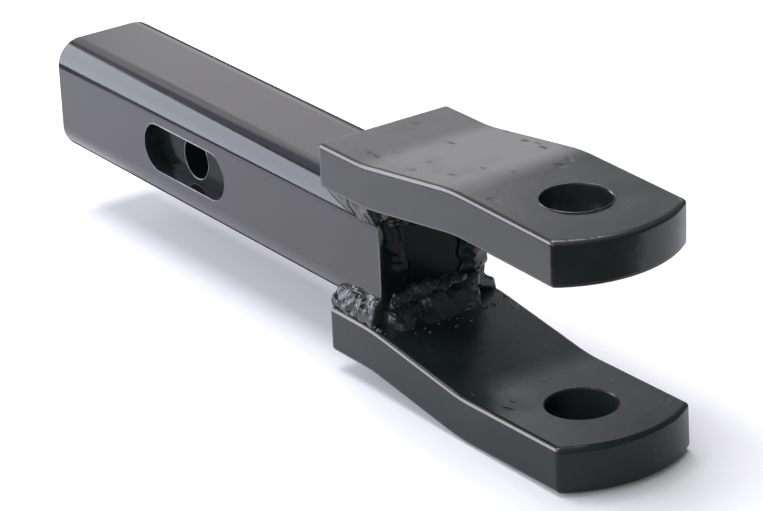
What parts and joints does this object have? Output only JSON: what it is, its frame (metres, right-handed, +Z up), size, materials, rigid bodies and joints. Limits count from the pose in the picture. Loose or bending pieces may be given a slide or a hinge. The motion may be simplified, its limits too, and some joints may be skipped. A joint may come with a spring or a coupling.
{
  "type": "clevis tow hitch",
  "caption": "Welded towing hitch: a square receiver shank with a cross pin hole, and a clevis of two bent bars bored for a vertical tow pin.",
  "frame": {"origin": "middle of the mouth between the two bars, on the clevis pin's axis", "axes": "+X points out of the mouth and away from the shank, +Z points up along the clevis pin's axis, +Y points to the far side of the picture"},
  "size_m": [0.3774, 0.0636, 0.105],
  "materials": {
    "tube_paint": "gloss black paint on drawn square tube",
    "core_paint": "gloss black paint on square bar",
    "bar_paint": "gloss black paint on hot rolled flat bar",
    "weld_paint": "gloss black paint over rippled weld metal"
  },
  "bodies": {
    "root": {"shank_tube": "tube_paint", "shank_core": "core_paint", "upper_clevis_plate": "bar_paint", "lower_clevis_plate": "bar_paint", "upper_near_side_weld": "weld_paint", "upper_far_side_weld": "weld_paint", "lower_near_side_weld": "weld_paint", "lower_far_side_weld": "weld_paint", "upper_front_weld": "weld_paint", "lower_front_weld": "weld_paint", "upper_rear_weld": "weld_paint", "lower_rear_weld": "weld_paint", "near_end_weld": "weld_paint", "far_end_weld": "weld_paint"}
  },
  "joints": []
}
